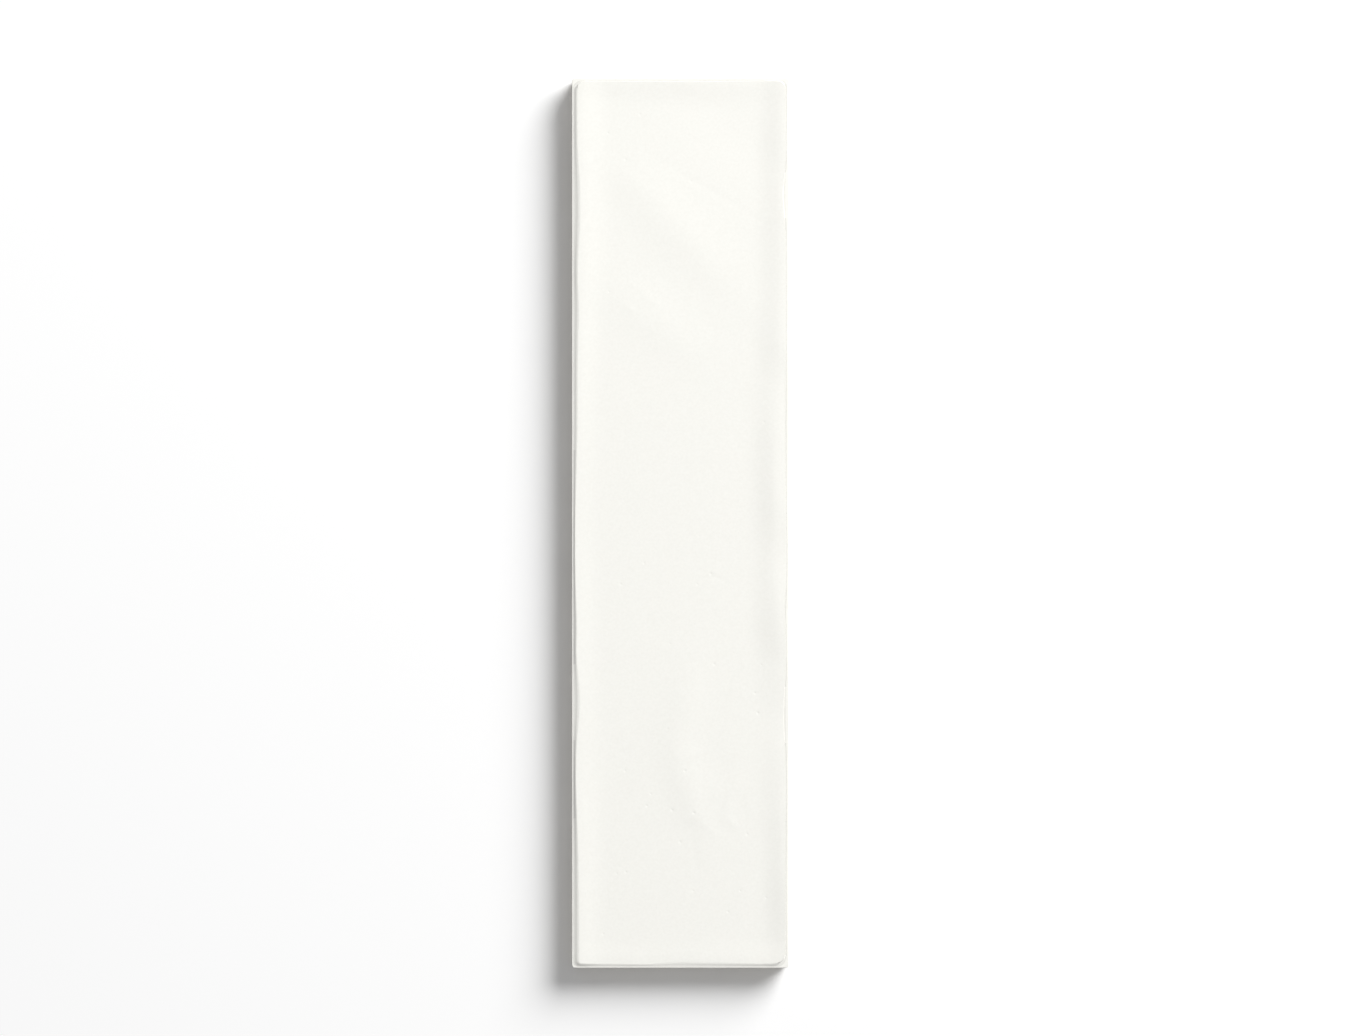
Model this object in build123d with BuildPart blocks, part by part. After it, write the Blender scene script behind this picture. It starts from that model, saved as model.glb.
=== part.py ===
from build123d import *
from math import cos, exp, radians, sin, tan
import os

# A pressed and glazed ceramic wall tile with a handmade look, 60 x 246 mm.
# It lies on its keyed back with the glazed face up. X runs across the tile, Y along it,
# and the origin is the middle of the back.
#
# From the back up, the tile is one fired piece made of
#   a straight, calibrated foot, a little narrower at the back, with rounded arrises,
#   a narrow ledge on top of the foot, on all four sides,
#   a cushion that stands on the foot, with wavy drafted walls and a rounded rim,
#   a shallow dish in its face: a raised lip all round, then a slope down to a gently waved floor,
#   and rows of shallow pockets in the back, which key into the adhesive.

# Driving dimensions, in millimetres
tile_width = 60.0
tile_length = 246.0
tile_thickness = 8.6
ledge_height = 7.95

# Foot
band_height = 3.0
foot_taper = 0.25
foot_corner_radius = 0.8
back_arris_radius = 0.5
ledge_arris_radius = 0.25

# Cushion walls: they pass through the wavy line at its height, lean in above it by the draft,
# and start wall_root below the ledge, inside the foot.
wavy_line_height = 8.15
wall_draft = 35.0
wall_root = 0.4
rim_radius = 0.2

# The wavy line of each side: places along the side, from the middle of the tile, with how far
# the line lies inside the tile's outer edge there.
left_wave = [
    (116, 0.85), (104, 0.90), (91, 1.36), (78, 1.17), (68, 0.90), (62, 1.08), (48, 0.96), (25, 0.86),
    (12, 0.64), (-22, 0.64), (-29, 0.78), (-36, 0.70), (-50, 1.31), (-59, 0.85), (-85, 0.88), (-115, 1.14),
]
bottom_wave = [(-25, 0.66), (-16, 0.58), (-7, 0.66), (-3, 0.92), (7, 0.88), (14, 0.74), (22, 0.64)]
right_wave = [
    (-112, 0.97), (-85, 0.95), (-64, 1.02), (-57, 1.42), (-50, 1.45), (-42, 1.00), (-30, 0.98), (-25, 1.20),
    (-20, 0.96), (10, 0.92), (40, 0.95), (79, 0.97), (85, 1.30), (91, 1.72), (98, 1.05), (115, 0.95),
]
top_wave = [(24, 0.84), (12, 0.96), (-2, 1.02), (-14, 0.94), (-23, 0.86)]
corner_radii = {"top_left": 3.0, "bottom_left": 1.9, "bottom_right": 4.0, "top_right": 2.2}

# Dish of the face. The lip of each side is given at places along the side, from the middle of the
# tile: the distances of its crest and of its foot from the outer edge, and its rise above the floor.
highest_lip = 0.55
floor_height = tile_thickness - highest_lip
left_lip = [
    (-118, 1.6, 10.0, 0.28), (-85, 0.8, 11.0, 0.36), (-62, 0.8, 11.0, 0.26), (-38, 0.5, 9.4, 0.28),
    (8, 0.5, 8.8, 0.18), (32, 1.2, 9.0, 0.22), (53, 1.8, 9.8, 0.26), (72, 2.0, 12.0, 0.30),
    (90, 2.0, 12.5, 0.30), (118, 2.2, 11.5, 0.26),
]
right_lip = [
    (-118, 0.4, 9.0, 0.30), (-102, 0.6, 9.3, 0.48), (-90, 1.3, 9.3, 0.33), (-68, 1.8, 11.0, 0.22),
    (-55, 2.4, 11.4, 0.09), (-41, 1.8, 12.2, 0.28), (-28, 2.2, 13.0, 0.52), (-10, 3.4, 12.6, 0.28),
    (6, 3.2, 12.8, 0.52), (20, 3.4, 12.6, 0.42), (38, 2.9, 13.0, 0.27), (50, 2.0, 12.0, 0.46),
    (63, 2.0, 11.0, 0.36), (82, 1.7, 11.0, 0.38), (95, 2.0, 10.8, 0.33), (106, 1.5, 11.0, 0.42),
    (118, 1.5, 10.0, 0.36),
]
bottom_lip = [
    (-25, 2.2, 9.0, 0.09), (-14, 2.6, 8.4, 0.08), (-3, 3.2, 8.6, 0.05), (14, 2.4, 10.0, 0.10), (25, 1.8, 9.2, 0.13),
]
top_lip = [
    (-25, -0.3, 7.5, 0.10), (-14, 0.2, 9.6, 0.19), (2, 0.0, 10.2, 0.26), (14, 0.6, 9.8, 0.17), (25, 0.6, 9.0, 0.12),
]
outward_curve = 0.006

# Waves of the floor: middle x and y, direction in degrees, half length, half width, height
floor_waves = [
    (0.8, 79.8, -43.0, 19.0, 5.0, 0.17),
    (-6.5, 55.5, -38.0, 12.0, 5.0, 0.12),
    (16.0, 108.0, -40.0, 14.0, 7.0, -0.10),
    (-18.0, 92.0, -60.0, 9.0, 5.0, -0.05),
    (1.0, -50.0, 76.0, 9.0, 3.6, 0.10),
    (2.0, -73.0, -73.0, 10.0, 3.6, 0.17),
    (13.0, -72.0, 60.0, 10.0, 5.0, 0.05),
]
wave_share_at_edge = 0.25

# The face is splined through a net of points, which reaches past the tile's edges.
net_step = 2.0
net_margin = 2.0

# Back: a flat land round the edge, and pockets with drafted walls between crossing ribs
land_width = 3.6
rib_width = 2.2
pocket_columns = 4
pocket_rows = 18
pocket_width = (tile_width - 2 * land_width - (pocket_columns - 1) * rib_width) / pocket_columns
pocket_length = (tile_length - 2 * land_width - (pocket_rows - 1) * rib_width) / pocket_rows
pocket_depth = 0.7
pocket_corner_cut = 1.1
pocket_draft = 35.0


def hump(distance, spread):
    """A smooth swelling that is 1 at distance 0 and fades over spread."""
    return exp(-0.5 * (distance / spread) ** 2)


def smooth_step(share):
    """Rises smoothly from 0 to 1 as share does."""
    share = min(max(share, 0.0), 1.0)
    return share * share * (3 - 2 * share)


def lip(stations, place, distance):
    """The lip's height above the floor, at a place along its side and a distance inside the edge."""
    index = sum(place > station[0] for station in stations[1:-1])
    before, after = stations[index], stations[index + 1]
    share = smooth_step((place - before[0]) / (after[0] - before[0]))
    crest, foot, rise = (start + share * (end - start) for start, end in zip(before[1:], after[1:]))
    if distance < crest:
        return rise - outward_curve * (crest - distance) ** 2
    fall = min((distance - crest) / (foot - crest), 1.0)
    return rise * (1 - fall) ** 3 * (1 + 3 * fall)


def wave_height(x, y, middle_x, middle_y, direction, half_length, half_width, height):
    """One long wave of the floor."""
    along = (x - middle_x) * cos(radians(direction)) + (y - middle_y) * sin(radians(direction))
    across = (y - middle_y) * cos(radians(direction)) - (x - middle_x) * sin(radians(direction))
    return height * hump(along, half_length) * hump(across, half_width)


def face_height(x, y):
    """Height of the glazed face above the back at x, y."""
    left = lip(left_lip, y, tile_width / 2 + x)
    right = lip(right_lip, y, tile_width / 2 - x)
    bottom = lip(bottom_lip, x, tile_length / 2 + y)
    top = lip(top_lip, x, tile_length / 2 - y)
    across, along = left + right, top + bottom
    lips = across + along - across * along / highest_lip
    waves = sum(wave_height(x, y, *wave) for wave in floor_waves)
    inside = 1 - lips / highest_lip
    return floor_height + lips + waves * (wave_share_at_edge + (1 - wave_share_at_edge) * inside)


def spread_evenly(half_span):
    """Places from -half_span to half_span, about net_step apart."""
    steps = round(2 * half_span / net_step)
    return [-half_span + 2 * half_span * i / steps for i in range(steps + 1)]


def cushion_outline(height):
    """The closed outline of the cushion's walls at a height above the back."""
    lean = tan(radians(wall_draft)) * (height - wavy_line_height)
    half_width, half_length = tile_width / 2, tile_length / 2
    radii = {name: radius - lean for name, radius in corner_radii.items()}

    # Each side runs counterclockwise and ends where its corners begin.
    def end(wave, index):
        return wave[index][1] + lean

    x_left_top = -half_width + end(left_wave, 0)
    x_left_bottom = -half_width + end(left_wave, -1)
    x_right_top = half_width - end(right_wave, -1)
    x_right_bottom = half_width - end(right_wave, 0)
    y_top_left = half_length - end(top_wave, -1)
    y_top_right = half_length - end(top_wave, 0)
    y_bottom_left = -half_length + end(bottom_wave, 0)
    y_bottom_right = -half_length + end(bottom_wave, -1)

    left = [(-half_width + inset + lean, y) for y, inset in left_wave]
    left.insert(0, (x_left_top, y_top_left - radii["top_left"]))
    left.append((x_left_bottom, y_bottom_left + radii["bottom_left"]))
    bottom = [(x, -half_length + inset + lean) for x, inset in bottom_wave]
    bottom.insert(0, (x_left_bottom + radii["bottom_left"], y_bottom_left))
    bottom.append((x_right_bottom - radii["bottom_right"], y_bottom_right))
    right = [(half_width - inset - lean, y) for y, inset in right_wave]
    right.insert(0, (x_right_bottom, y_bottom_right + radii["bottom_right"]))
    right.append((x_right_top, y_top_right - radii["top_right"]))
    top = [(x, half_length - inset - lean) for x, inset in top_wave]
    top.insert(0, (x_right_top - radii["top_right"], y_top_right))
    top.append((x_left_top + radii["top_left"], y_top_left))

    Spline(*left, tangents=[(0, -1), (0, -1)])
    TangentArc(left[-1], bottom[0], tangent=(0, -1))
    Spline(*bottom, tangents=[(1, 0), (1, 0)])
    TangentArc(bottom[-1], right[0], tangent=(1, 0))
    Spline(*right, tangents=[(0, 1), (0, 1)])
    TangentArc(right[-1], top[0], tangent=(0, 1))
    Spline(*top, tangents=[(-1, 0), (-1, 0)])
    TangentArc(top[-1], left[0], tangent=(-1, 0))


net = [
    [Vector(x, y, face_height(x, y)) for x in spread_evenly(tile_width / 2 + net_margin)]
    for y in spread_evenly(tile_length / 2 + net_margin)
]
dished_face = Face.make_surface_from_array_of_points(net, tol=0.002, min_deg=3, max_deg=5)

with BuildPart() as cushion:
    # Walls, from inside the foot up past the face, cut off by the dished face
    with BuildSketch(Plane.XY.offset(ledge_height - wall_root)):
        with BuildLine():
            cushion_outline(ledge_height - wall_root)
        make_face()
    with BuildSketch(Plane.XY.offset(tile_thickness + wall_root)):
        with BuildLine():
            cushion_outline(tile_thickness + wall_root)
        make_face()
    loft()
    extrude(dished_face, amount=2, dir=(0, 0, 1), mode=Mode.SUBTRACT)
    fillet(cushion.faces().sort_by(Axis.Z)[-1].edges(), rim_radius)

with BuildPart() as tile:
    # Foot: a straight band under the ledge, narrower from there to the back
    with BuildSketch(Plane.XY):
        RectangleRounded(tile_width - 2 * foot_taper, tile_length - 2 * foot_taper, foot_corner_radius)
    with BuildSketch(Plane.XY.offset(ledge_height - band_height)):
        RectangleRounded(tile_width, tile_length, foot_corner_radius)
    loft()
    extrude(tile.faces().sort_by(Axis.Z)[-1], amount=band_height)
    fillet(tile.faces().sort_by(Axis.Z)[-1].edges(), ledge_arris_radius)
    fillet(tile.faces().sort_by(Axis.Z)[0].edges(), back_arris_radius)
    add(cushion.part)

    # Pockets in the back
    with BuildSketch(Plane.XY):
        with GridLocations(pocket_width + rib_width, pocket_length + rib_width, pocket_columns, pocket_rows):
            Rectangle(pocket_width, pocket_length)
        chamfer(vertices(), pocket_corner_cut)
    extrude(amount=pocket_depth, taper=pocket_draft, mode=Mode.SUBTRACT)

tile.part.label = "wall_tile"
os.makedirs("parts", exist_ok=True)
export_step(tile.part, "parts/wall_tile.step")
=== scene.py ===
import bpy
from math import cos, pi, radians, sin, tan

import numpy as np
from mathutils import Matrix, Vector, noise
from mathutils.geometry import delaunay_2d_cdt


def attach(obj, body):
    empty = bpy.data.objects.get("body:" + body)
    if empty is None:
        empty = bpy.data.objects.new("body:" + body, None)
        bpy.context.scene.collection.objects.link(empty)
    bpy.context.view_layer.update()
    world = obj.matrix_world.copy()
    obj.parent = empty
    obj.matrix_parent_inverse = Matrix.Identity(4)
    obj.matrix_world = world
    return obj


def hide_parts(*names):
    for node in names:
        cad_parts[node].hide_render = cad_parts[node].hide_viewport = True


# The glazed wall tile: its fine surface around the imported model, its glaze and biscuit, and the studio.
# Shapes are worked out in millimetres, in the model's own frame, and written in metres.

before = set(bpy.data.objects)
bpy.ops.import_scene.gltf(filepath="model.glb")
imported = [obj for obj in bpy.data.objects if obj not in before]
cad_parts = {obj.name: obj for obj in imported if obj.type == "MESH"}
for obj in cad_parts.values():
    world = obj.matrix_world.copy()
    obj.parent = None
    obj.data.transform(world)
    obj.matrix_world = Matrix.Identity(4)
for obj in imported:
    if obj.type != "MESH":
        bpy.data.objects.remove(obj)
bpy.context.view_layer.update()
NODE = "wall_tile"
MM = 0.001

# Sizes of the tile in millimetres, as in its source, but with a sharper bottom left corner

WIDTH, LENGTH = 60.0, 246.0
HALF_WIDTH, HALF_LENGTH = WIDTH / 2, LENGTH / 2
THICKNESS = 8.6
LEDGE = 7.95
BAND = 3.0
FOOT_TAPER = 0.25
FOOT_CORNER = 0.8
BACK_ARRIS = 0.5

# The wavy line of each side: places along the side, with how far the line lies inside the edge there
LEFT_WAVE = [
    (116, 0.85), (104, 0.90), (91, 1.36), (78, 1.17), (68, 0.90), (62, 1.08), (48, 0.96), (25, 0.86),
    (12, 0.64), (-22, 0.64), (-29, 0.78), (-36, 0.70), (-50, 1.31), (-59, 0.85), (-85, 0.88), (-115, 1.14),
]
BOTTOM_WAVE = [(-25, 0.66), (-16, 0.58), (-7, 0.66), (-3, 0.92), (7, 0.88), (14, 0.74), (22, 0.64)]
RIGHT_WAVE = [
    (-112, 0.97), (-85, 0.95), (-64, 1.02), (-57, 1.42), (-50, 1.45), (-42, 1.00), (-30, 0.98), (-25, 1.20),
    (-20, 0.96), (10, 0.92), (40, 0.95), (79, 0.97), (85, 1.30), (91, 1.72), (98, 1.05), (115, 0.95),
]
TOP_WAVE = [(24, 0.84), (12, 0.96), (-2, 1.02), (-14, 0.94), (-23, 0.86)]
CORNERS = {"top_left": 3.0, "bottom_left": 1.3, "bottom_right": 4.0, "top_right": 2.2}

HIGHEST_LIP = 0.55
FLOOR = THICKNESS - HIGHEST_LIP
# The lip of each side: places along the side, with the distances of its crest and its foot from the
# edge and its rise above the floor
LEFT_LIP = [
    (-118, 1.6, 10.0, 0.28), (-85, 0.8, 11.0, 0.36), (-62, 0.8, 11.0, 0.26), (-38, 0.5, 9.4, 0.28),
    (8, 0.5, 8.8, 0.18), (32, 1.2, 9.0, 0.22), (53, 1.8, 9.8, 0.26), (72, 2.0, 12.0, 0.30),
    (90, 2.0, 12.5, 0.30), (118, 2.2, 11.5, 0.26),
]
RIGHT_LIP = [
    (-118, 0.4, 9.0, 0.30), (-102, 0.6, 9.3, 0.48), (-90, 1.3, 9.3, 0.33), (-68, 1.8, 11.0, 0.22),
    (-55, 2.4, 11.4, 0.09), (-41, 1.8, 12.2, 0.28), (-28, 2.2, 13.0, 0.52), (-10, 3.4, 12.6, 0.28),
    (6, 3.2, 12.8, 0.52), (20, 3.4, 12.6, 0.42), (38, 2.9, 13.0, 0.27), (50, 2.0, 12.0, 0.46),
    (63, 2.0, 11.0, 0.36), (82, 1.7, 11.0, 0.38), (95, 2.0, 10.8, 0.33), (106, 1.5, 11.0, 0.42),
    (118, 1.5, 10.0, 0.36),
]
BOTTOM_LIP = [
    (-25, 2.2, 9.0, 0.09), (-14, 2.6, 8.4, 0.08), (-3, 3.2, 8.6, 0.05), (14, 2.4, 10.0, 0.10),
    (25, 1.8, 9.2, 0.13),
]
TOP_LIP = [
    (-25, -0.3, 7.5, 0.10), (-14, 0.2, 9.6, 0.19), (2, 0.0, 10.2, 0.26), (14, 0.6, 9.8, 0.17),
    (25, 0.6, 9.0, 0.12),
]
# Outside its crest a lip falls by this times the square of the distance
OUTWARD_CURVE = 0.006
# Waves of the floor: middle x and y, direction in degrees, half length, half width, height
FLOOR_WAVES = [
    (0.8, 79.8, -43.0, 19.0, 5.0, 0.17),
    (-6.5, 55.5, -38.0, 12.0, 5.0, 0.12),
    (16.0, 108.0, -40.0, 14.0, 7.0, -0.10),
    (-18.0, 92.0, -60.0, 9.0, 5.0, -0.05),
    (1.0, -50.0, 76.0, 9.0, 3.6, 0.10),
    (2.0, -73.0, -73.0, 10.0, 3.6, 0.17),
    (13.0, -72.0, 60.0, 10.0, 5.0, 0.05),
]
# The share of the waves that is left where the lip is highest
WAVE_SHARE_AT_EDGE = 0.25

# The back: a flat land round the edge, and pockets between ribs
LAND, RIB = 3.6, 2.2
POCKET_COLUMNS, POCKET_ROWS = 4, 18
POCKET_WIDTH = (WIDTH - 2 * LAND - (POCKET_COLUMNS - 1) * RIB) / POCKET_COLUMNS
POCKET_LENGTH = (LENGTH - 2 * LAND - (POCKET_ROWS - 1) * RIB) / POCKET_ROWS
POCKET_CORNER = 1.5

# Fine relief of the glaze, in millimetres

# Short soft strokes in the face: middle x and y, direction in degrees, half length, half width, height
STROKES = [
    (-11.0, 92.0, -43.0, 6.0, 4.0, 0.030),
    (16.0, 68.0, -43.0, 7.0, 4.0, -0.035),
    (8.0, 92.0, -31.0, 13.0, 0.6, -0.018),
    (-14.0, 59.2, -20.0, 1.0, 0.7, 0.034),
    (-9.0, 62.6, -40.0, 3.4, 0.9, 0.020),
    (-12.5, 97.5, -40.0, 3.0, 0.8, -0.014),
    (1.5, -50.0, 82.0, 9.0, 3.0, 0.050),
    (3.8, -63.6, 15.0, 3.0, 1.0, 0.028),
    (11.2, -66.0, -70.0, 2.6, 1.3, -0.024),
    (14.9, -73.0, 60.0, 2.8, 0.7, 0.046),
    (12.9, -79.6, 84.0, 2.8, 0.9, 0.036),
    (14.6, -83.4, -50.0, 1.8, 0.9, 0.024),
    (8.6, -73.0, -65.0, 3.2, 1.0, 0.020),
    (17.4, -79.0, -70.0, 3.4, 0.9, -0.016),
    (8.0, -84.5, -35.0, 3.0, 0.9, 0.022),
    (4.4, -80.2, 60.0, 1.2, 0.8, 0.026),
    (2.0, -84.5, 10.0, 1.8, 1.1, -0.032),
    (3.6, -90.5, -80.0, 4.0, 0.8, -0.018),
    (0.8, -105.0, 75.0, 4.0, 0.9, 0.020),
]
# The whole relief lies this much lower, so that it stays under the highest point of the form
SETTLED = 0.012
# Faint ripples: height, wavelength, seed
RIPPLES = [(0.003, 9.0, 3.1), (0.002, 3.6, 8.7), (0.0022, 1.5, 5.3)]
# A fine curved crease near the middle
CREASE_MIDDLE, CREASE_RADIUS, CREASE_TURN, CREASE_SWEEP = (8.6, -21.6), 6.6, 98.0, 70.0
CREASE_HALF_WIDTH, CREASE_DEPTH = 0.42, 0.028
# Pinholes: x, y, radius, depth
PINHOLES = [
    (8.4, -14.1, 0.40, 0.060), (4.6, -16.9, 0.30, 0.045), (-16.5, -16.9, 0.34, 0.050),
    (-10.1, -11.1, 0.32, 0.050), (9.3, -39, 0.34, 0.055), (20.6, -47, 0.34, 0.055),
    (21.4, -52.5, 0.36, 0.060), (18.4, -86, 0.36, 0.060), (-21.4, -113.6, 0.32, 0.050),
    (-15.1, -96.5, 0.32, 0.050), (-0.1, -88.2, 0.34, 0.055), (3.7, -80.2, 0.36, 0.060),
    (1.2, -68.5, 0.34, 0.055), (-2.4, -79.3, 0.36, 0.060), (13.1, -107.5, 0.32, 0.050),
    (-9.3, -78.2, 0.32, 0.050), (-15.3, -68.5, 0.30, 0.045), (23.6, -103.6, 0.30, 0.045),
    (16.5, -101.7, 0.30, 0.045), (-8.2, -74.9, 0.30, 0.045), (3.5, -101.7, 0.30, 0.045),
    (-17.6, -97, 0.26, 0.040), (22.3, -39.2, 0.28, 0.040), (-2.9, -33.4, 0.28, 0.040),
    (-3.5, -56.9, 0.28, 0.040), (23.1, 27.9, 0.28, 0.040), (-11.2, 113, 0.28, 0.040),
    (-20, 107.8, 0.28, 0.040), (-15.2, 100.5, 0.28, 0.040), (-19.8, 64, 0.28, 0.040),
    (2.9, 94.5, 0.26, 0.035), (5.1, -3.6, 0.26, 0.035),
]
# A pinhole's radius is this many times the spread of its hump
PINHOLE_EDGE = 1.6

# The step from the face down to the ledge, and the edges, in millimetres

# Under its glaze the step is softer at the left and the bottom than at the right and the top. It reaches
# this far inwards from the wavy line, and as far outwards. The soft step reaches further where the line
# lies further in, up to a limit, and leaves a flat strip of the ledge.
STEP_SHARP = 0.02
STEP_SOFT, STEP_SOFT_GROWTH, GROWTH_LIMIT = 0.22, 0.62, 1.5
LEDGE_FLAT = 0.32
# The sharp sides face this way, and a wall that faces away from it by this share or more is soft
SHARP_SIDE = np.array([0.71, 0.71])
SOFT_PAST = 0.6
STEP_LOOPS = 12
# A ring this close beside a bend keeps the flat next to it flat
RING_MARGIN = 0.05
# The glaze leaves the arris of the ledge a little sharper than in the source. The step's foot keeps clear
# of it by a margin, and the ledge falls a little towards it.
LEDGE_ARRIS, ARRIS_LOOPS = 0.12, 4
LEDGE_MARGIN, LEDGE_FALL = 0.03, 0.01
# Rings across the ledge, at these shares of the way from the step to the arris
LEDGE_SHARES = (0.1, 0.4, 0.9)
# Painted shade is darkest at the foot of the long walls, where the ledge is narrower than this. A wall counts
# as a long one where it faces sideways by more than this share.
NARROW_RIGHT, NARROW_LEFT = 1.2, 0.8
LONG_SIDE = 0.8
# The edge of the glaze on the sides wanders about this height: height, shift, wavelength and seed of its
# waves. The glaze thins out towards it: inset, and height above it.
GLAZE_EDGE = 5.4
EDGE_WAVES = [(0.28, 40, 14.0, 1.7), (0.10, 80, 4.0, 6.1)]
GLAZE_LIP = [(0.005, 0.14), (0.03, 0.03), (0.075, 0.0)]
# The bare foot lies this far inside the glaze, with rings at these heights down to the back's arris
BARE = 0.08
FOOT_HEIGHTS = (4.2, 2.8, 1.6)
BACK_BEND, BACK_LOOPS = BACK_ARRIS + 0.1, 5


def hump(distance, spread):
    """A smooth swelling that is 1 at distance 0 and fades over spread."""
    return np.exp(-0.5 * (distance / spread) ** 2)


def smooth_step(share):
    """Rises smoothly from 0 to 1 as share does."""
    share = np.clip(share, 0.0, 1.0)
    return share * share * (3 - 2 * share)


def lip(stations, place, distance):
    """The lip's height above the floor, at a place along its side and a distance inside the edge."""
    table = np.array(stations, float)
    index = np.searchsorted(table[1:-1, 0], place, side="left")
    before, after = table[index], table[index + 1]
    share = smooth_step((place - before[:, 0]) / (after[:, 0] - before[:, 0]))
    crest, foot, rise = (before[:, i] + share * (after[:, i] - before[:, i]) for i in (1, 2, 3))
    outside = rise - OUTWARD_CURVE * (crest - distance) ** 2
    fall = np.clip((distance - crest) / (foot - crest), 0.0, 1.0)
    inside = rise * (1 - fall) ** 3 * (1 + 3 * fall)
    return np.where(distance < crest, outside, inside)


def stroke(x, y, middle_x, middle_y, direction, half_length, half_width, height):
    """A long soft wave or stroke."""
    turn = radians(direction)
    along = (x - middle_x) * cos(turn) + (y - middle_y) * sin(turn)
    across = (y - middle_y) * cos(turn) - (x - middle_x) * sin(turn)
    return height * hump(along, half_length) * hump(across, half_width)


def main_height(x, y):
    """Height of the glazed face as the tile's source gives it."""
    across = lip(LEFT_LIP, y, HALF_WIDTH + x) + lip(RIGHT_LIP, y, HALF_WIDTH - x)
    along = lip(BOTTOM_LIP, x, HALF_LENGTH + y) + lip(TOP_LIP, x, HALF_LENGTH - y)
    lips = across + along - across * along / HIGHEST_LIP
    waves = sum(stroke(x, y, *wave) for wave in FLOOR_WAVES)
    share = WAVE_SHARE_AT_EDGE + (1 - WAVE_SHARE_AT_EDGE) * (1 - lips / HIGHEST_LIP)
    return FLOOR + lips + waves * share


def ripple(x, y, wavelength, seed):
    """Smooth noise between about -1 and 1."""
    found = [noise.noise(Vector((px / wavelength, py / wavelength, seed))) for px, py in zip(x, y)]
    return np.array(found)


def fine_height(x, y):
    """Small relief of the glaze, which is added to the main form."""
    height = sum(stroke(x, y, *one) for one in STROKES)
    dx, dy = x - CREASE_MIDDLE[0], y - CREASE_MIDDLE[1]
    turn = np.degrees(np.arctan2(dy, dx)) - CREASE_TURN
    across = hump(np.hypot(dx, dy) - CREASE_RADIUS, CREASE_HALF_WIDTH)
    height = height - CREASE_DEPTH * across * hump(turn, CREASE_SWEEP / 2)
    for rise, wavelength, seed in RIPPLES:
        height = height + rise * ripple(x, y, wavelength, seed)
    for hole_x, hole_y, radius, depth in PINHOLES:
        height = height - depth * hump(np.hypot(x - hole_x, y - hole_y), radius / PINHOLE_EDGE)
    return height - SETTLED


def face_height(x, y):
    """Height of the finished face."""
    x, y = np.asarray(x, float), np.asarray(y, float)
    return main_height(x, y) + fine_height(x, y)


# Outlines


def cubic(places, values):
    """A smooth curve through values at rising places, level at both ends."""
    places, values = np.array(places, float), np.array(values, float)
    gaps = np.diff(places)
    slopes = np.diff(values) / gaps
    count = len(places)
    matrix, right = np.zeros((count, count)), np.zeros(count)
    matrix[0, 0] = matrix[-1, -1] = 1.0
    for i in range(1, count - 1):
        matrix[i, i - 1] = gaps[i]
        matrix[i, i] = 2 * (gaps[i - 1] + gaps[i])
        matrix[i, i + 1] = gaps[i - 1]
        right[i] = 3 * (gaps[i] * slopes[i - 1] + gaps[i - 1] * slopes[i])
    tangents = np.linalg.solve(matrix, right)

    def at(place):
        index = np.clip(np.searchsorted(places, place) - 1, 0, count - 2)
        gap = gaps[index]
        t = np.clip((place - places[index]) / gap, 0.0, 1.0)
        return (
            values[index] * (1 + 2 * t) * (1 - t) ** 2
            + tangents[index] * gap * t * (1 - t) ** 2
            + values[index + 1] * t * t * (3 - 2 * t)
            + tangents[index + 1] * gap * t * t * (t - 1)
        )

    return at


WAVES = {
    "left": sorted(LEFT_WAVE),
    "right": sorted(RIGHT_WAVE),
    "bottom": sorted(BOTTOM_WAVE),
    "top": sorted(TOP_WAVE),
}
# Outlines are worked out at this spacing, with this many steps in half a corner. A wave's place closer
# than the gap to the end of its side is left out.
FINE = 0.1
HALF_CORNER_STEPS = 16
END_GAP = 0.5
SMALLEST_RADIUS = 0.05


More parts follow.
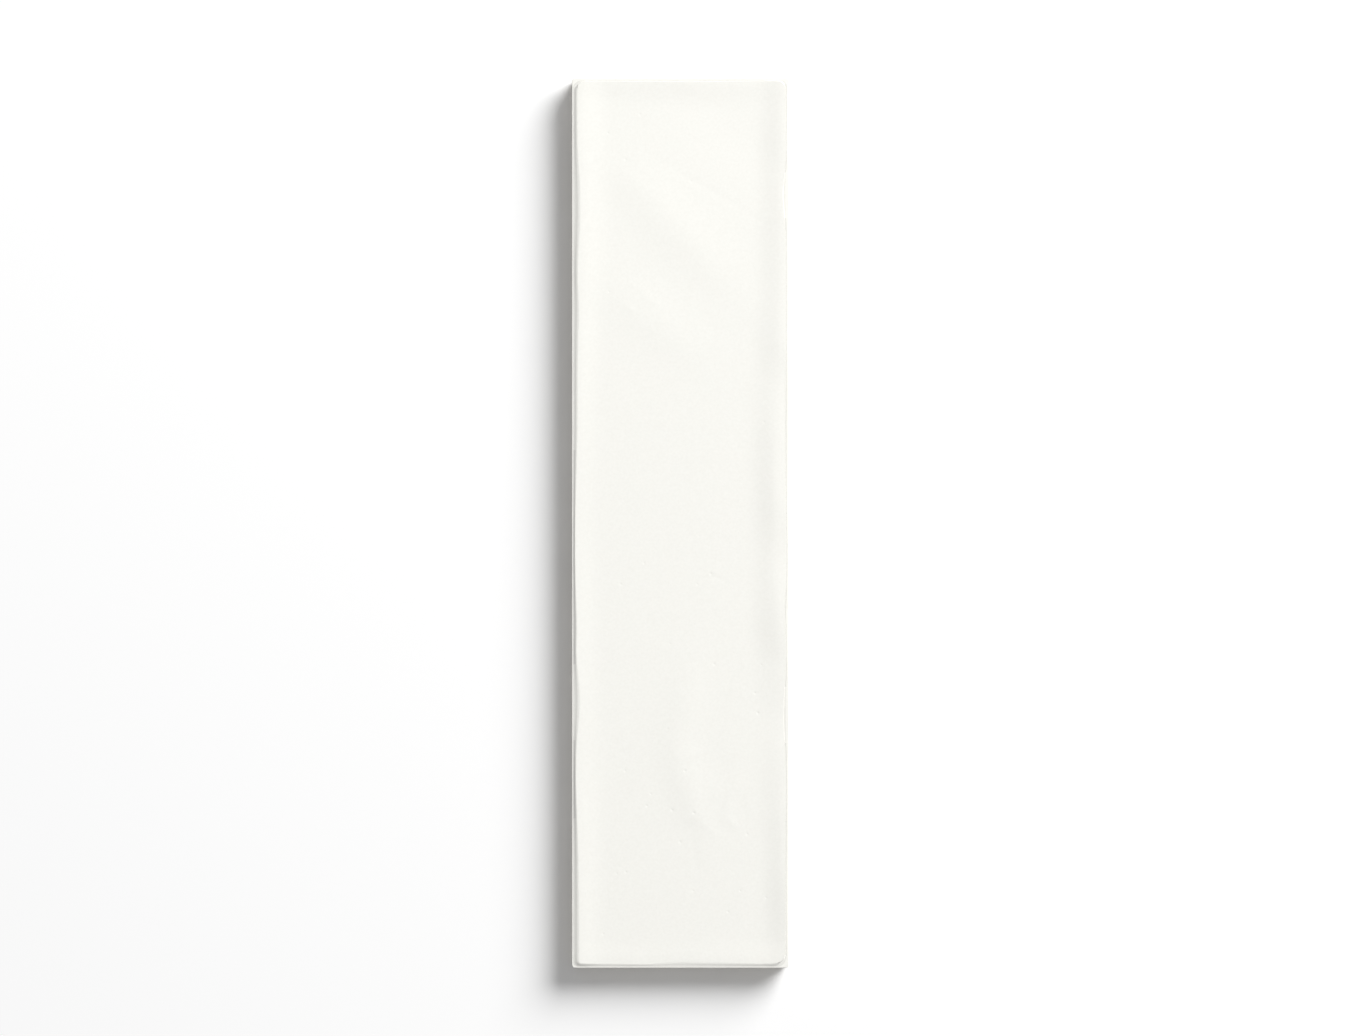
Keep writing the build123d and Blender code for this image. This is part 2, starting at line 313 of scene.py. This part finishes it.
def closed_outline(waves, radii, lean):
    """Four runs of dense points, counterclockwise, each from the middle of one corner to the next."""
    first = {side: stations[0][1] + lean for side, stations in waves.items()}
    last = {side: stations[-1][1] + lean for side, stations in waves.items()}
    r = {name: max(radius - lean, SMALLEST_RADIUS) for name, radius in radii.items()}
    y_tl, y_tr = HALF_LENGTH - first["top"], HALF_LENGTH - last["top"]
    y_bl, y_br = -HALF_LENGTH + first["bottom"], -HALF_LENGTH + last["bottom"]
    x_lt, x_lb = -HALF_WIDTH + last["left"], -HALF_WIDTH + first["left"]
    x_rt, x_rb = HALF_WIDTH - last["right"], HALF_WIDTH - first["right"]

    def run(side, low, high):
        stations = waves[side]
        inner = [s for s in stations if low + END_GAP < s[0] < high - END_GAP]
        places = [low] + [s[0] for s in inner] + [high]
        insets = [stations[0][1]] + [s[1] for s in inner] + [stations[-1][1]]
        at = np.linspace(low, high, int((high - low) / FINE) + 1)
        return at, cubic(places, insets)(at) + lean

    def arc(x, y, radius, start):
        turn = np.radians(np.linspace(start, start + 90, 2 * HALF_CORNER_STEPS + 1))
        return np.stack([x + radius * np.cos(turn), y + radius * np.sin(turn)], axis=1)

    at, inset = run("left", y_bl + r["bottom_left"], y_tl - r["top_left"])
    left = np.stack([-HALF_WIDTH + inset, at], axis=1)[::-1]
    at, inset = run("bottom", x_lb + r["bottom_left"], x_rb - r["bottom_right"])
    bottom = np.stack([at, -HALF_LENGTH + inset], axis=1)
    at, inset = run("right", y_br + r["bottom_right"], y_tr - r["top_right"])
    right = np.stack([HALF_WIDTH - inset, at], axis=1)
    at, inset = run("top", x_lt + r["top_left"], x_rt - r["top_right"])
    top = np.stack([at, HALF_LENGTH - inset], axis=1)[::-1]
    arcs = [
        arc(x_lt + r["top_left"], y_tl - r["top_left"], r["top_left"], 90),
        arc(x_lb + r["bottom_left"], y_bl + r["bottom_left"], r["bottom_left"], 180),
        arc(x_rb - r["bottom_right"], y_br + r["bottom_right"], r["bottom_right"], 270),
        arc(x_rt - r["top_right"], y_tr - r["top_right"], r["top_right"], 0),
    ]
    return [
        np.concatenate([a[HALF_CORNER_STEPS:], side[1:-1], b[:HALF_CORNER_STEPS + 1]])
        for a, side, b in zip(arcs, (left, bottom, right, top), arcs[1:] + arcs[:1])
    ]


LONG_STEPS, SHORT_STEPS = 440, 108


def ring(waves, radii, lean):
    """Evenly spaced points round an outline, the same number for each outline."""
    found = []
    for i, line in enumerate(closed_outline(waves, radii, lean)):
        count = LONG_STEPS if i % 2 == 0 else SHORT_STEPS
        length = np.concatenate([[0.0], np.cumsum(np.hypot(*np.diff(line, axis=0).T))])
        at = np.linspace(0, length[-1], count + 1)[:-1]
        found.append(np.stack([np.interp(at, length, line[:, 0]), np.interp(at, length, line[:, 1])], axis=1))
    return np.concatenate(found)


# The foot's sides are waves of no height
STRAIGHT = {side: [(-10.0, 0.0), (10.0, 0.0)] for side in WAVES}
FOOT_RADII = {name: FOOT_CORNER for name in CORNERS}


def foot_ring(inset):
    """The foot's outline, as far inside its edge as inset says."""
    return ring(STRAIGHT, FOOT_RADII, inset)


# Mesh of the tile

points, faces, kinds = [], [], []
# The kinds are places in the list of materials
# The last two kinds are the glaze darkened as painted shade, at the foot of the step and on the sharp walls
GLAZE, BISCUIT, PAINTED_SHADE, DARKER_PAINTED_SHADE = range(4)


def add_points(xy, z):
    """Adds points and gives their indices."""
    start = len(points)
    z = np.broadcast_to(np.asarray(z, float), (len(xy),))
    points.extend(np.column_stack([xy, z]).tolist())
    return list(range(start, start + len(xy)))


def bridge(upper, lower, kind):
    """Joins two closed loops of the same number of points with quads, of one kind or one for each."""
    count = len(upper)
    for i in range(count):
        j = (i + 1) % count
        faces.append((upper[i], lower[i], lower[j], upper[j]))
    kinds.extend(np.broadcast_to(kind, count).tolist())


def inside(loop, xy):
    """Which points lie inside a closed loop."""
    found = np.zeros(len(xy), bool)
    x, y = xy[:, 0], xy[:, 1]
    for (x0, y0), (x1, y1) in zip(loop, np.roll(loop, -1, axis=0)):
        if y0 != y1:
            found ^= ((y0 > y) != (y1 > y)) & (x < (x1 - x0) * (y - y0) / (y1 - y0) + x0)
    return found


# The triangulation stays inside the loops, and takes points this close for one
INSIDE_LOOPS, SAME_POINT = 1, 1e-7


def fill(loops, extra, kind, up, allowed=None):
    """Triangles inside the first loop, outside the others, through the extra points."""
    indices = [i for loop in loops for i in loop] + list(extra)
    flat = [Vector(points[i][:2]) for i in indices]
    edges, start = [], 0
    for loop in loops:
        edges += [(start + i, start + (i + 1) % len(loop)) for i in range(len(loop))]
        start += len(loop)
    made, _, triangles, origins, _, _ = delaunay_2d_cdt(flat, edges, [], INSIDE_LOOPS, SAME_POINT, True)
    assert len(made) == len(flat), (len(made), len(flat))
    back = [origin[0] for origin in origins]
    corners = np.array([[made[i][:] for i in triangle] for triangle in triangles])
    middles = corners.mean(axis=1)
    stays = np.ones(len(triangles), bool)
    # Only a triangle between points of the outline can lie in one of its bays
    rim = np.array([max(back[i] for i in triangle) < len(loops[0]) for triangle in triangles])
    stays[rim] = inside(np.array([place[:] for place in flat[:len(loops[0])]]), middles[rim])
    for triangle, (a, b, c), middle, stay in zip(triangles, corners, middles, stays):
        if not stay or allowed is not None and not allowed(*middle):
            continue
        doubled_area = (b[0] - a[0]) * (c[1] - a[1]) - (b[1] - a[1]) * (c[0] - a[0])
        order = triangle if (doubled_area > 0) == up else triangle[::-1]
        faces.append(tuple(indices[back[i]] for i in order))
        kinds.append(kind)


# Step from the face down to the ledge, a soft S in section
base_ring = ring(WAVES, CORNERS, 0.0)
along = np.roll(base_ring, -1, axis=0) - np.roll(base_ring, 1, axis=0)
normals = np.column_stack([-along[:, 1], along[:, 0]]) / np.hypot(*along.T)[:, None]
sharpness = smooth_step((SOFT_PAST - normals @ SHARP_SIDE) / SOFT_PAST)
to_edge = np.minimum(HALF_WIDTH - np.abs(base_ring[:, 0]), HALF_LENGTH - np.abs(base_ring[:, 1]))
soft_reach = STEP_SOFT + STEP_SOFT_GROWTH * np.minimum(to_edge, GROWTH_LIMIT)
reach = soft_reach + (STEP_SHARP - soft_reach) * sharpness
reach_out = np.minimum(reach, to_edge - LEDGE_FLAT)
crest_ring = base_ring + normals * reach[:, None]
step_foot = base_ring - normals * reach_out[:, None]
limit = np.array([HALF_WIDTH, HALF_LENGTH]) - LEDGE_ARRIS - LEDGE_MARGIN
step_foot = np.clip(step_foot, -limit, limit)

held_ring = crest_ring + normals * RING_MARGIN
loops = [add_points(held_ring, face_height(held_ring[:, 0], held_ring[:, 1]))]
for i in range(STEP_LOOPS + 1):
    share = i / STEP_LOOPS
    xy = crest_ring + (step_foot - crest_ring) * share
    face_level = face_height(xy[:, 0], xy[:, 1])
    loops.append(add_points(xy, LEDGE + (face_level - LEDGE) * (1 - smooth_step(share))))

# Ledge and its arris
ledge_edge = foot_ring(LEDGE_ARRIS)
for share in LEDGE_SHARES:
    loops.append(add_points(step_foot + (ledge_edge - step_foot) * share, LEDGE - LEDGE_FALL * share))
for i in range(ARRIS_LOOPS + 1):
    turn = pi / 2 * i / ARRIS_LOOPS
    level = LEDGE - LEDGE_FALL - LEDGE_ARRIS * (1 - cos(turn))
    loops.append(add_points(foot_ring(LEDGE_ARRIS * (1 - sin(turn))), level))

# Sides, down to the edge of the glaze
side = foot_ring(0.0)
edge_line = np.full(len(side), GLAZE_EDGE)
for height, shift, wavelength, seed in EDGE_WAVES:
    edge_line = edge_line + height * ripple(side[:, 0] + shift, side[:, 1], wavelength, seed)
loops.append(add_points(side, (edge_line + LEDGE - LEDGE_ARRIS) / 2))
for inset, above in GLAZE_LIP:
    loops.append(add_points(foot_ring(inset), edge_line + above))
glazed_loops = len(loops)

# Biscuit of the foot, which tapers towards the back, and the arris of the back
for z in FOOT_HEIGHTS + (BACK_BEND,):
    taper = FOOT_TAPER * (1 - min(z / (LEDGE - BAND), 1.0))
    loops.append(add_points(foot_ring(BARE + taper), z))
for i in range(1, BACK_LOOPS + 1):
    turn = pi / 2 * i / BACK_LOOPS
    inset = FOOT_TAPER + BARE + (BACK_ARRIS - BARE) * (1 - cos(turn))
    loops.append(add_points(foot_ring(inset), BACK_BEND * (1 - sin(turn))))

# Painted shade, the glaze darkened, takes up the whole of the sharp walls. On the soft ones it begins about
# halfway down the step. It ends at the middle ring of the ledge.
shade_start = STEP_LOOPS // 2
shade_end = STEP_LOOPS + len(LEDGE_SHARES)
narrow = np.where(normals[:, 0] < 0, NARROW_RIGHT, NARROW_LEFT)
# The darker painted shade goes where the ledge is narrow beside a long wall
darker_shade = (np.abs(normals[:, 0]) > LONG_SIDE) & (to_edge < narrow)
foot_kinds = np.where(darker_shade, DARKER_PAINTED_SHADE, PAINTED_SHADE)
wall_kinds = np.where(sharpness > 0.5, foot_kinds, GLAZE)
for number, (upper, lower) in enumerate(zip(loops, loops[1:])):
    if number < shade_start:
        kind = wall_kinds
    elif number < shade_end:
        kind = foot_kinds
    elif number < glazed_loops - 1:
        kind = GLAZE
    else:
        kind = BISCUIT
    bridge(upper, lower, kind)

# Face, as a net of triangles that is finer in patches with small strokes and round the pinholes
COARSE, CLOSE = 0.66, 0.33
CLOSE_PATCHES = [(2.5, 18.5, -93.0, -60.0), (1.0, 16.0, -18.5, -12.0), (-16.0, -7.0, 56.0, 65.0)]
PATCH_MARGIN, RIM_MARGIN, PINHOLE_MARGIN = 0.1, 0.25, 1.0
# Rings round a pinhole: distance, and turn in radians
PINHOLE_RINGS = [(0.16, 0.0), (0.32, 0.26), (0.52, 0.0), (0.78, 0.26)]
PINHOLE_TURNS = np.arange(12) * pi / 6


def grid(x_low, x_high, y_low, y_high, step):
    """Points in rows and columns, from one corner of a rectangle."""
    xs = np.arange(x_low, x_high + 1e-6, step)
    ys = np.arange(y_low, y_high + 1e-6, step)
    x, y = np.meshgrid(xs, ys)
    return np.column_stack([x.ravel(), y.ravel()])


def net_points():
    """The points of the face inside its rim."""
    cloud = grid(-HALF_WIDTH, HALF_WIDTH, -HALF_LENGTH, HALF_LENGTH, COARSE)
    taken = np.zeros(len(cloud), bool)
    patches = []
    for x_low, x_high, y_low, y_high in CLOSE_PATCHES:
        in_x = (cloud[:, 0] > x_low - PATCH_MARGIN) & (cloud[:, 0] < x_high + PATCH_MARGIN)
        in_y = (cloud[:, 1] > y_low - PATCH_MARGIN) & (cloud[:, 1] < y_high + PATCH_MARGIN)
        taken |= in_x & in_y
        patches.append(grid(x_low, x_high, y_low, y_high, CLOSE))
    cloud = np.concatenate([cloud[~taken]] + patches)
    cloud = cloud[inside(crest_ring + normals * RIM_MARGIN, cloud)]
    clear = np.ones(len(cloud), bool)
    holes = []
    for hole_x, hole_y, _, _ in PINHOLES:
        clear &= np.hypot(cloud[:, 0] - hole_x, cloud[:, 1] - hole_y) > PINHOLE_MARGIN
        holes.append(np.array([[hole_x, hole_y]]))
        for distance, twist in PINHOLE_RINGS:
            x = hole_x + distance * np.cos(PINHOLE_TURNS + twist)
            y = hole_y + distance * np.sin(PINHOLE_TURNS + twist)
            holes.append(np.column_stack([x, y]))
    return np.concatenate([cloud[clear]] + holes)


cloud = net_points()
net = add_points(cloud, face_height(cloud[:, 0], cloud[:, 1]))
fill([loops[0]], net, GLAZE, up=True)

# Back: land and ribs round the pockets
PITCH_X, PITCH_Y = POCKET_WIDTH + RIB, POCKET_LENGTH + RIB
# Section of a pocket's wall: inset, and depth
POCKET_PROFILE = [(0.0, 0.0), (0.08, 0.03), (0.16, 0.12), (0.40, 0.50), (0.56, 0.64), (0.85, 0.70)]
POCKET_CORNER_STEPS = 5


def pocket_loop(x, y, inset):
    """A rounded rectangle, counterclockwise as seen from above."""
    half_x, half_y = POCKET_WIDTH / 2 - inset, POCKET_LENGTH / 2 - inset
    radius = POCKET_CORNER - inset
    loop = []
    for turn, sx, sy in ((0, 1, 1), (90, -1, 1), (180, -1, -1), (270, 1, -1)):
        cx, cy = x + sx * (half_x - radius), y + sy * (half_y - radius)
        for step in range(POCKET_CORNER_STEPS + 1):
            angle = radians(turn + 90 * step / POCKET_CORNER_STEPS)
            loop.append((cx + radius * cos(angle), cy + radius * sin(angle)))
    return np.array(loop)


pocket_tops = []
for column in range(POCKET_COLUMNS):
    for row in range(POCKET_ROWS):
        x = (column - (POCKET_COLUMNS - 1) / 2) * PITCH_X
        y = (row - (POCKET_ROWS - 1) / 2) * PITCH_Y
        rings = [add_points(pocket_loop(x, y, inset), depth) for inset, depth in POCKET_PROFILE]
        pocket_tops.append(rings[0])
        for outer, inner in zip(rings, rings[1:]):
            bridge(outer, inner, BISCUIT)
        fill([rings[-1]], [], BISCUIT, up=False)


def on_land(x, y):
    """False inside a pocket. The numbers of columns and rows are even, so ribs cross at the middle."""
    if abs(x) > PITCH_X * POCKET_COLUMNS / 2 or abs(y) > PITCH_Y * POCKET_ROWS / 2:
        return True
    dx = abs(((x / PITCH_X) % 1.0) - 0.5) * PITCH_X
    dy = abs(((y / PITCH_Y) % 1.0) - 0.5) * PITCH_Y
    over_x, over_y = dx - (POCKET_WIDTH / 2 - POCKET_CORNER), dy - (POCKET_LENGTH / 2 - POCKET_CORNER)
    if over_x > 0 and over_y > 0:
        return over_x ** 2 + over_y ** 2 > POCKET_CORNER ** 2
    return max(over_x, over_y) > POCKET_CORNER


fill([loops[-1]] + pocket_tops, [], BISCUIT, up=False, allowed=on_land)

mesh = bpy.data.meshes.new("tile_surface")
mesh.from_pydata((np.array(points) * MM).tolist(), [], faces)
mesh.validate()
mesh.update()
tile = bpy.data.objects.new("glazed_tile", mesh)
bpy.context.scene.collection.objects.link(tile)
mesh.shade_smooth()
mesh.polygons.foreach_set("material_index", kinds)

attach(tile, "root")
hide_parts(NODE)


# Materials

GLAZE_IOR = 1.5
GLAZE_TONES = [(0.894, 0.887, 0.838), (0.924, 0.917, 0.869)]
# Painted shade at the foot of the step and on the sharp walls keeps the first share of the glaze's colour,
# and the darker painted shade at the foot of the long walls keeps the second
PAINTED_SHADE_SHARE, DARKER_SHADE_SHARE = 0.87, 0.76
GLAZE_LOOK = {"mottle": (1400, 3), "relief": (900, 2), "strength": 0.5, "depth": 0.000006, "roughness": 0.09}
CLAY_TONES = [(0.62, 0.585, 0.52), (0.72, 0.685, 0.62)]
CLAY_LOOK = {"mottle": (90, 6), "relief": (2600, 3), "strength": 0.8, "depth": 0.00004, "roughness": 0.85}
# The two tones blend between these values of the noise
TONE_START, TONE_END = 0.3, 0.7


def new_noise(tree, coordinates, scale, detail):
    """A noise texture in the piece's own coordinates."""
    texture = tree.nodes.new("ShaderNodeTexNoise")
    texture.inputs["Scale"].default_value = scale
    texture.inputs["Detail"].default_value = detail
    tree.links.new(coordinates.outputs["Object"], texture.inputs["Vector"])
    return texture


def new_material(name, tones, share, mottle, relief, strength, depth, roughness):
    """Two tones that a noise mottles, taken down to a share, with a fine bump from a second noise."""
    material = bpy.data.materials.new(name)
    material.use_nodes = True
    tree = material.node_tree
    shader = tree.nodes["Principled BSDF"]
    coordinates = tree.nodes.new("ShaderNodeTexCoord")
    mottling = new_noise(tree, coordinates, *mottle)
    tint = tree.nodes.new("ShaderNodeValToRGB")
    for stop, place, tone in zip(tint.color_ramp.elements, (TONE_START, TONE_END), tones):
        stop.position = place
        stop.color = [share * value for value in tone] + [1]
    tree.links.new(mottling.outputs["Fac"], tint.inputs["Fac"])
    tree.links.new(tint.outputs["Color"], shader.inputs["Base Color"])
    bump = tree.nodes.new("ShaderNodeBump")
    bump.inputs["Strength"].default_value = strength
    bump.inputs["Distance"].default_value = depth
    tree.links.new(new_noise(tree, coordinates, *relief).outputs["Fac"], bump.inputs["Height"])
    tree.links.new(bump.outputs["Normal"], shader.inputs["Normal"])
    shader.inputs["Roughness"].default_value = roughness
    return material, shader


def new_glaze(name, share):
    """The glossy off-white glaze, with a share of its colour left, which paints shade where it is below 1."""
    material, shader = new_material(name, GLAZE_TONES, share, **GLAZE_LOOK)
    shader.inputs["IOR"].default_value = GLAZE_IOR
    return material


# In the order of the kinds
mesh.materials.append(new_glaze("white_glaze", 1.0))
mesh.materials.append(new_material("fired_clay", CLAY_TONES, 1.0, **CLAY_LOOK)[0])
# Two copies of the glaze darkened as painted shade
mesh.materials.append(new_glaze("glaze_painted_shade", PAINTED_SHADE_SHARE))
mesh.materials.append(new_glaze("glaze_darker_painted_shade", DARKER_SHADE_SHARE))

# Studio: one large round lamp, a pale world and a white floor, in metres and degrees

KEY_AZIMUTH, KEY_ELEVATION = 47.0, 32.0
KEY_DISTANCE = 3.4
KEY_HALF_ANGLE = 19.5
# Shares of full white that a level white surface gets from the lamp and from the world
KEY_SHARE, FILL_SHARE = 0.785, 0.335
PLAIN_WHITE = (1.0, 1.0, 1.0, 1.0)
FLOOR_HALF = 8.0
FLOOR_DROP = 0.00002
# The floor turns from shaded paper to plain white between these distances from the tile's middle
FADE_START, FADE_END = 0.19, 0.45

turn, rise = radians(KEY_AZIMUTH), radians(KEY_ELEVATION)
towards = Vector((cos(turn) * cos(rise), sin(turn) * cos(rise), sin(rise)))
lamp_radius = KEY_DISTANCE * tan(radians(KEY_HALF_ANGLE))
lamp_area = pi * lamp_radius ** 2
solid_angle = lamp_area / KEY_DISTANCE ** 2
radiance = KEY_SHARE * pi / (solid_angle * sin(rise))
lamp_data = bpy.data.lights.new("key", "AREA")
lamp_data.shape = "DISK"
lamp_data.size = 2 * lamp_radius
lamp_data.energy = radiance * pi * lamp_area
lamp = bpy.data.objects.new("key", lamp_data)
lamp.location = towards * KEY_DISTANCE
lamp.rotation_euler = towards.to_track_quat("Z", "Y").to_euler()
bpy.context.scene.collection.objects.link(lamp)


def shows_background(nodes, links):
    """1 for a ray from the camera, or one that is mirrored or let through, and 0 for light on the object."""
    path = nodes.new("ShaderNodeLightPath")
    found = path.outputs["Is Camera Ray"]
    for kind_of_ray in ("Is Glossy Ray", "Is Transmission Ray"):
        larger = nodes.new("ShaderNodeMath")
        larger.operation = "MAXIMUM"
        links.new(found, larger.inputs[0])
        links.new(path.outputs[kind_of_ray], larger.inputs[1])
        found = larger.outputs[0]
    return found


world = bpy.data.worlds.new("studio")
world.use_nodes = True
bpy.context.scene.world = world
nodes, links = world.node_tree.nodes, world.node_tree.links
background = nodes["Background"]
background.inputs["Color"].default_value = PLAIN_WHITE
strength = nodes.new("ShaderNodeMapRange")
strength.inputs["To Min"].default_value = FILL_SHARE
strength.inputs["To Max"].default_value = 1.0
links.new(shows_background(nodes, links), strength.inputs["Value"])
links.new(strength.outputs["Result"], background.inputs["Strength"])

floor_mesh = bpy.data.meshes.new("floor")
floor_corners = [(x * FLOOR_HALF, y * FLOOR_HALF, 0) for x, y in ((-1, -1), (1, -1), (1, 1), (-1, 1))]
floor_mesh.from_pydata(floor_corners, [], [(0, 1, 2, 3)])
floor = bpy.data.objects.new("floor", floor_mesh)
floor.location.z = -FLOOR_DROP
bpy.context.scene.collection.objects.link(floor)
paper = bpy.data.materials.new("white_paper")
paper.use_nodes = True
nodes, links = paper.node_tree.nodes, paper.node_tree.links
nodes.remove(nodes["Principled BSDF"])
matt = nodes.new("ShaderNodeBsdfDiffuse")
matt.inputs["Color"].default_value = PLAIN_WHITE
glow = nodes.new("ShaderNodeEmission")
glow.inputs["Color"].default_value = PLAIN_WHITE
place = nodes.new("ShaderNodeTexCoord")
distance = nodes.new("ShaderNodeVectorMath")
distance.operation = "LENGTH"
links.new(place.outputs["Object"], distance.inputs[0])
far = nodes.new("ShaderNodeMapRange")
far.interpolation_type = "SMOOTHSTEP"
far.inputs["From Min"].default_value = FADE_START
far.inputs["From Max"].default_value = FADE_END
links.new(distance.outputs["Value"], far.inputs["Value"])
shown = nodes.new("ShaderNodeMath")
shown.operation = "MULTIPLY"
links.new(far.outputs["Result"], shown.inputs[0])
links.new(shows_background(nodes, links), shown.inputs[1])
mix = nodes.new("ShaderNodeMixShader")
links.new(shown.outputs[0], mix.inputs["Fac"])
links.new(matt.outputs[0], mix.inputs[1])
links.new(glow.outputs[0], mix.inputs[2])
links.new(mix.outputs[0], nodes["Material Output"].inputs["Surface"])
floor_mesh.materials.append(paper)

# Camera, straight above, at the photograph's scale

PIXELS_ACROSS = 1361
MM_PER_PIXEL = 0.2765
LENS, SENSOR = 250.0, 36.0
FRAME_MIDDLE_Y = 1.38
CLIP_END = 20

camera_data = bpy.data.cameras.new("camera")
camera_data.lens = LENS
camera_data.sensor_width = SENSOR
camera_data.clip_end = CLIP_END
camera = bpy.data.objects.new("camera", camera_data)
distance_above = PIXELS_ACROSS * MM_PER_PIXEL * MM * LENS / SENSOR
camera.location = (0.0, FRAME_MIDDLE_Y * MM, LEDGE * MM + distance_above)
bpy.context.scene.collection.objects.link(camera)
bpy.context.scene.camera = camera

bpy.context.scene.view_settings.view_transform = "Standard"
